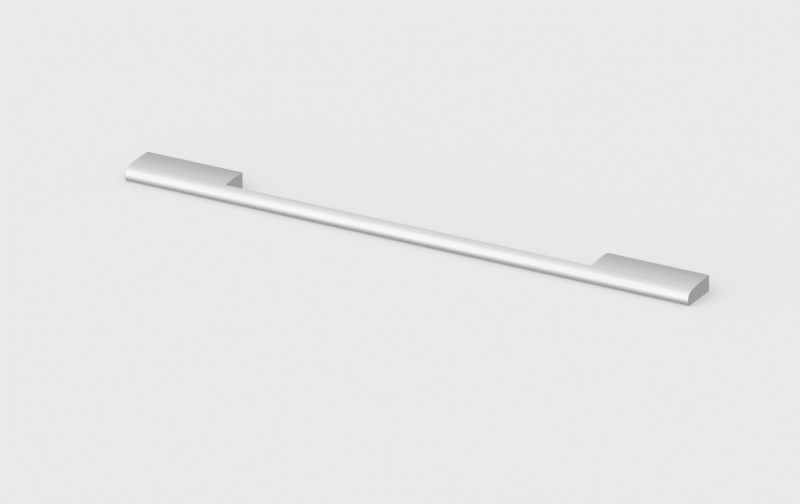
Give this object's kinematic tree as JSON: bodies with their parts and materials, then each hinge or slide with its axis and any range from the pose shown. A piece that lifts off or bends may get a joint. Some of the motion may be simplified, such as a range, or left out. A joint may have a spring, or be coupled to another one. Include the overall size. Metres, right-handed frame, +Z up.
{
  "type": "bridge pull handle",
  "caption": "Slim bridge pull handle with a rounded front, full-depth feet at its ends and a finger gap behind the bar, for a drawer or door front.",
  "frame": {"origin": "midway between the two fixing holes, on the plane that the feet are mounted on", "axes": "+X along the handle, +Y to the rear into the door or drawer front that it is mounted on, so the rounded front faces -Y, and +Z up, away from the flat underside"},
  "size_m": [0.395, 0.027, 0.0106],
  "materials": {
    "satin_aluminium": "satin anodised, fine lengthwise grain"
  },
  "bodies": {
    "root": {"handle": "satin_aluminium"}
  },
  "joints": []
}
